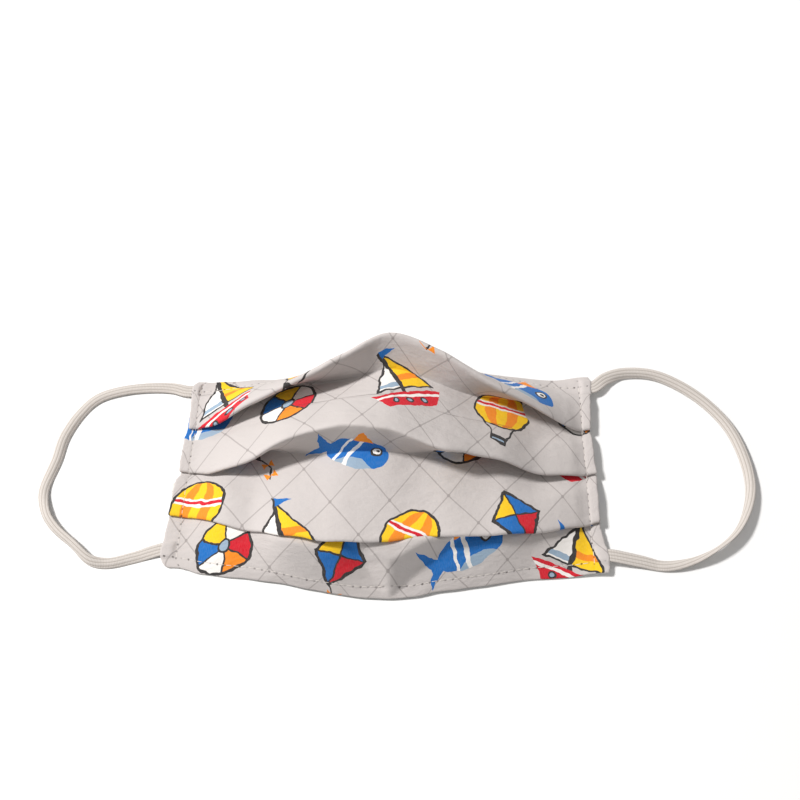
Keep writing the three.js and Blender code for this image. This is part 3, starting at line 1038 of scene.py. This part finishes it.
def cloth_relief(n, uv, fine, soft, holes=None):
    """Bump of a plain weave under faint creases."""
    u, v = n.split(uv)
    warp = n.math("SINE", n.math("MULTIPLY", u, 2 * math.pi / WEAVE_PITCH))
    weft = n.math("SINE", n.math("MULTIPLY", v, 2 * math.pi / WEAVE_PITCH))
    weave = n.math("MULTIPLY", warp, weft)
    slub = n.noise(n.stretch(uv, 2.2, 0.35), 1.0, 3.0)
    height = n.math("MULTIPLY_ADD", weave, 0.35, slub)
    if holes is not None:
        height = n.math("MULTIPLY_ADD", holes, -5.0, height)
    first = n.bump(height, fine)
    creases = n.noise(n.stretch(uv, 0.09, 0.16), 1.0, 4.0, 0.6)
    return n.bump(creases, soft, 1.0, first)


def hand_drawn(n, uv):
    """Cloth coordinates that waver a little, so that printed outlines look drawn by hand."""
    waver = n.node("ShaderNodeTexNoise")
    n.put(waver.inputs["Vector"], uv)
    n.put(waver.inputs["Scale"], 0.16)
    n.put(waver.inputs["Detail"], 2.0)
    away = n.vector("SUBTRACT", waver.outputs["Color"], (0.5, 0.5, 0.5))
    return n.vector("ADD", uv, n.vector("MULTIPLY", away, (3.2, 3.2, 0.0)))


def needle_holes(n, uv):
    """Dots where the needle went through, one pitch apart along the side and hem seams: dips in the bump, and
    painted shade in the colour.
    """
    u, v = n.split(uv)
    to_side, to_bottom = n.split(n.uv("edges"))
    _, y = n.split(n.node("ShaderNodeTexCoord").outputs["Object"])
    y = n.math("SUBTRACT", n.math("DIVIDE", y, MM), SHIFT[1])
    covers = []
    for away, along in ((n.math("SUBTRACT", to_side, SIDE_SEAM), y),
                        (n.math("SUBTRACT", n.math("MINIMUM", v, to_bottom), HEM_SEAM), u)):
        step = n.math("PINGPONG", n.math("ADD", along, STITCH_PITCH * 200), STITCH_PITCH / 2)
        far = n.math("SQRT", n.math("ADD", n.math("POWER", away, 2.0), n.math("POWER", step, 2.0)))
        covers.append(n.ramp(far, 0.62, 0.25))
    uneven = n.ramp(n.noise(n.stretch(uv, 0.23, 0.23), 1.0, 2.0), 0.42, 0.6, 0.25, 1.0)
    return n.math("MULTIPLY", n.math("MAXIMUM", covers[0], covers[1]), uneven)


def printed_cotton():
    n = Nodes("printed_cotton")
    uv = n.uv("fabric")
    tint = n.noise(n.stretch(uv, 0.05, 0.05), 1.0, 2.0)
    base = n.blend(COTTON, COTTON_SHADE, tint)
    base = n.blend(base, LATTICE, lattice(n, uv))
    place, kind = motif_places(n, hand_drawn(n, uv))
    ink = Ink(n, place, base, kind)
    for motif in (sailboat, balloon, kite, fish, ball):
        motif(ink)
    thread = n.noise(n.stretch(uv, 3.0, 0.5), 1.0, 2.0)
    worn = n.math("MULTIPLY", n.ramp(thread, 0.35, 0.7), 0.06)
    colour = n.blend(ink.colour, COTTON, worn)
    holes = needle_holes(n, uv)
    # Painted shade: the cloth is darkened at the needle holes
    colour = n.blend(colour, NEEDLE_HOLE_SHADE, n.math("MULTIPLY", holes, 0.75))
    return n.finish(colour, 0.88, cloth_relief(n, uv, 0.00006, 0.0008, holes), 0.05)


def lining_cotton():
    """A linen look: short light and grey dashes both ways."""
    n = Nodes("lining_cotton")
    uv = n.uv("fabric")
    across = n.noise(n.stretch(uv, 0.16, 1.5), 1.0, 3.0, 0.6)
    along = n.noise(n.stretch(uv, 1.5, 0.16), 1.0, 3.0, 0.6)
    grey = n.ramp(across, 0.5, 0.68)
    colour = n.blend(LINING, LINING_THREAD, n.math("MULTIPLY", grey, 0.85))
    grey = n.ramp(along, 0.52, 0.7)
    colour = n.blend(colour, LINING_THREAD, n.math("MULTIPLY", grey, 0.7))
    cream = n.ramp(n.noise(n.stretch(uv, 0.3, 1.1), 1.0, 2.0), 0.56, 0.7)
    colour = n.blend(colour, LINING_CREAM, n.math("MULTIPLY", cream, 0.35))
    return n.finish(colour, 0.9, cloth_relief(n, uv, 0.00007, 0.0006), 0.08)


def ribbed_elastic():
    """Knitted elastic: fine rows across, with painted shade in the grooves between the ribs."""
    n = Nodes("ribbed_elastic")
    uv = n.uv("fabric")
    u, v = n.split(uv)
    rib = n.math("COSINE", n.math("MULTIPLY", n.math("ADD", u, ELASTIC_WIDTH / 2),
                                  2 * math.pi * ELASTIC_RIBS / ELASTIC_WIDTH))
    groove_shade = n.ramp(rib, 0.35, 1.0)
    row = n.math("SINE", n.math("MULTIPLY", v, 2 * math.pi / KNIT_PITCH))
    knit = n.math("MULTIPLY", row, 0.5)
    tint = n.noise(n.stretch(uv, 1.4, 0.6), 1.0, 3.0)
    # Painted shade: the grooves between the ribs are darkened
    colour = n.blend(ELASTIC, ELASTIC_GROOVE_SHADE, n.math("MULTIPLY", groove_shade, 0.75))
    colour = n.blend(colour, ELASTIC_SHADE, n.math("MULTIPLY", n.ramp(tint, 0.4, 0.75), 0.4))
    return n.finish(colour, 0.8, n.bump(n.math("ADD", knit, tint), 0.00008), 0.15)


def sewing_thread():
    n = Nodes("sewing_thread")
    where = n.node("ShaderNodeTexCoord").outputs["Object"]
    tint = n.noise(where, 2500.0, 2.0)
    colour = n.blend(THREAD, THREAD_SHADE, tint)
    return n.finish(colour, 0.7, n.bump(tint, 0.00004), 0.2)


# Stitches

def capsule(length, radius):
    """Points and faces of a thread on the cloth, bowed down at both ends."""
    rings, sides = 7, 6
    points = []
    for i in range(rings):
        t = -1 + 2 * i / (rings - 1)
        thick = radius * math.sqrt(max(0.04, 1 - abs(t) ** 4))
        sink = -0.84 * radius * abs(t) ** 3
        for k in range(sides):
            a = 2 * math.pi * k / sides
            points.append((t * length / 2, thick * math.cos(a), thick * 0.8 * math.sin(a) + sink))
    faces = []
    for i in range(rings - 1):
        for k in range(sides):
            a, b = i * sides + k, i * sides + (k + 1) % sides
            faces.append((a, a + sides, b + sides, b))
    faces.append(tuple(range(sides)))
    faces.append(tuple(reversed(range((rings - 1) * sides, rings * sides))))
    return np.array(points), faces


def seam_ends(grid, down, places):
    """Both ends of each stitch as (x, y) on the mask: side seams first, then the hems."""
    ends = []
    seam = 1 - SIDE_SEAM / (TOP_HEM_WIDTH / 2)
    for side in (-1, 1):
        column = int(np.argmin(np.abs(places - side * seam)))
        order = np.argsort(grid[column, :, 1])
        ys, xs = grid[column, order, 1], grid[column, order, 0]
        for k in range(math.ceil(ys[0] / STITCH_PITCH) + 1, math.floor(ys[-1] / STITCH_PITCH) - 1):
            middle = (k + 0.5) * STITCH_PITCH
            pair = (middle + STITCH / 2, middle - STITCH / 2)
            ends.append([(float(np.interp(y, ys, xs)), y) for y in pair])
    half = TOP_HEM_WIDTH / 2
    for from_top in (True, False):
        xs, ys = [], []
        for i in range(len(places)):
            length = HEM_SEAM if from_top else down[i, -1] - HEM_SEAM
            xs.append(np.interp(length, down[i], grid[i, :, 0]))
            ys.append(np.interp(length, down[i], grid[i, :, 1]))
        last = int(half * 0.93 / STITCH_PITCH)
        for k in range(-last, last):
            middle = (k + 0.5) * STITCH_PITCH
            pair = ((middle - STITCH / 2) / half, (middle + STITCH / 2) / half)
            ends.append([(float(np.interp(at, places, xs)), float(np.interp(at, places, ys))) for at in pair])
    return ends


def stitch_seams(name, cloth, grid, down, places, from_below):
    """Stitches laid on the face of the cloth that is met from above or from below."""
    tree = BVHTree.FromPolygons([v.co for v in cloth.data.vertices],
                                [tuple(p.vertices) for p in cloth.data.polygons])
    points, faces = [], []
    shape, shape_faces = capsule(STITCH, THREAD_RADIUS)
    way = Vector((0, 0, 1 if from_below else -1))

    def land(x, y):
        start = Vector(((x + SHIFT[0]) * MM, (y + SHIFT[1]) * MM, -1.0 if from_below else 1.0))
        hit, normal, _, _ = tree.ray_cast(start, way)
        if hit is None:
            return None
        if normal.dot(way) > 0:
            normal = -normal
        return hit, normal

    for pair in seam_ends(grid, down, places):
        first, last = land(*pair[0]), land(*pair[1])
        if first is None or last is None or (last[0] - first[0]).length > STITCH * 1.6 * MM:
            continue
        centre = (first[0] + last[0]) / 2
        along = (last[0] - first[0]).normalized()
        up = (first[1] + last[1]).normalized()
        side = up.cross(along).normalized()
        up = along.cross(side)
        turn = Matrix((along, side, up)).transposed()
        offset = len(points)
        for p in shape:
            points.append(centre + turn @ Vector(p * MM) + up * THREAD_RADIUS * 0.25 * MM)
        faces.extend(tuple(offset + q for q in f) for f in shape_faces)
    return add_object(name, smooth_mesh(name, points, faces))


# The stage

def camera():
    data = bpy.data.cameras.new("camera")
    data.lens = CAMERA_LENS
    data.sensor_width = SENSOR_WIDTH
    data.clip_start = 0.01
    data.clip_end = 20
    obj = add_object("camera", data)
    obj.location = [(p + s) * MM for p, s in zip(CAMERA_PLACE, SHIFT)]
    obj.rotation_euler = (math.radians(90 - CAMERA_ELEVATION), 0, 0)
    bpy.context.scene.camera = obj


def window():
    data = bpy.data.lights.new("window", "AREA")
    data.shape = "DISK"
    data.size = WINDOW_SIZE
    data.energy = WINDOW_POWER
    data.color = WINDOW_COLOUR
    obj = add_object("window", data)
    obj.location = WINDOW_PLACE
    obj.rotation_euler = (-Vector(WINDOW_PLACE)).to_track_quat("-Z", "Y").to_euler()


def stage():
    mesh = bpy.data.meshes.new("floor")
    r = FLOOR_REACH
    mesh.from_pydata([(-r, -r, 0), (r, -r, 0), (r, r, 0), (-r, r, 0)], [], [(0, 1, 2, 3)])
    floor = add_object("floor", mesh)
    n = Nodes("pale_floor")
    mesh.materials.append(n.finish(FLOOR_COLOUR, 0.9, None))
    world = bpy.data.worlds.new("studio")
    bpy.context.scene.world = world
    world.use_nodes = True
    background = world.node_tree.nodes["Background"]
    background.inputs["Color"].default_value = SKY_COLOUR
    background.inputs["Strength"].default_value = SKY
    window()
    bpy.context.scene.view_settings.view_transform = "Standard"
    bpy.context.scene.view_settings.exposure = 0.0


def dress(piece, material):
    piece.data.materials.append(material)
    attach(piece, "root")
    return piece


def build():
    camera()
    stage()
    places, grid, down, marks = middle_surface()
    grid = stand_out(grid, marks)
    grid = shape_edges(grid, places, down, marks)
    grid = soften(grid, places, down)
    normals = surface_normals(grid)
    lump = sewn_in(places, grid)
    near, far = CLOTH_GAP / 2, CLOTH_GAP / 2 + CLOTH
    outer = shell_mesh("printed_cloth", grid, normals, near, far, places, down, lump)
    lining = shell_mesh("lining", grid, normals, -near, -far, places, down)
    dress(outer, printed_cotton())
    dress(lining, lining_cotton())
    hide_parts("outer_cloth")
    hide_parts("lining_cloth")
    elastic = ribbed_elastic()
    left, left_length = loop_mesh("elastic_left", LEFT_ROUTE, -1, LEFT_REACH)
    right, right_length = loop_mesh("elastic_right", RIGHT_ROUTE, 1, RIGHT_REACH)
    dress(left, elastic)
    dress(right, elastic)
    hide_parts("ear_loop_left")
    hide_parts("ear_loop_right")
    thread = sewing_thread()
    top_stitches = stitch_seams("stitches_above", outer, grid, down, places, False)
    low_stitches = stitch_seams("stitches_below", lining, grid, down, places, True)
    dress(top_stitches, thread)
    dress(low_stitches, thread)
    print("loop lengths in mm", round(left_length, 1), round(right_length, 1))


build()
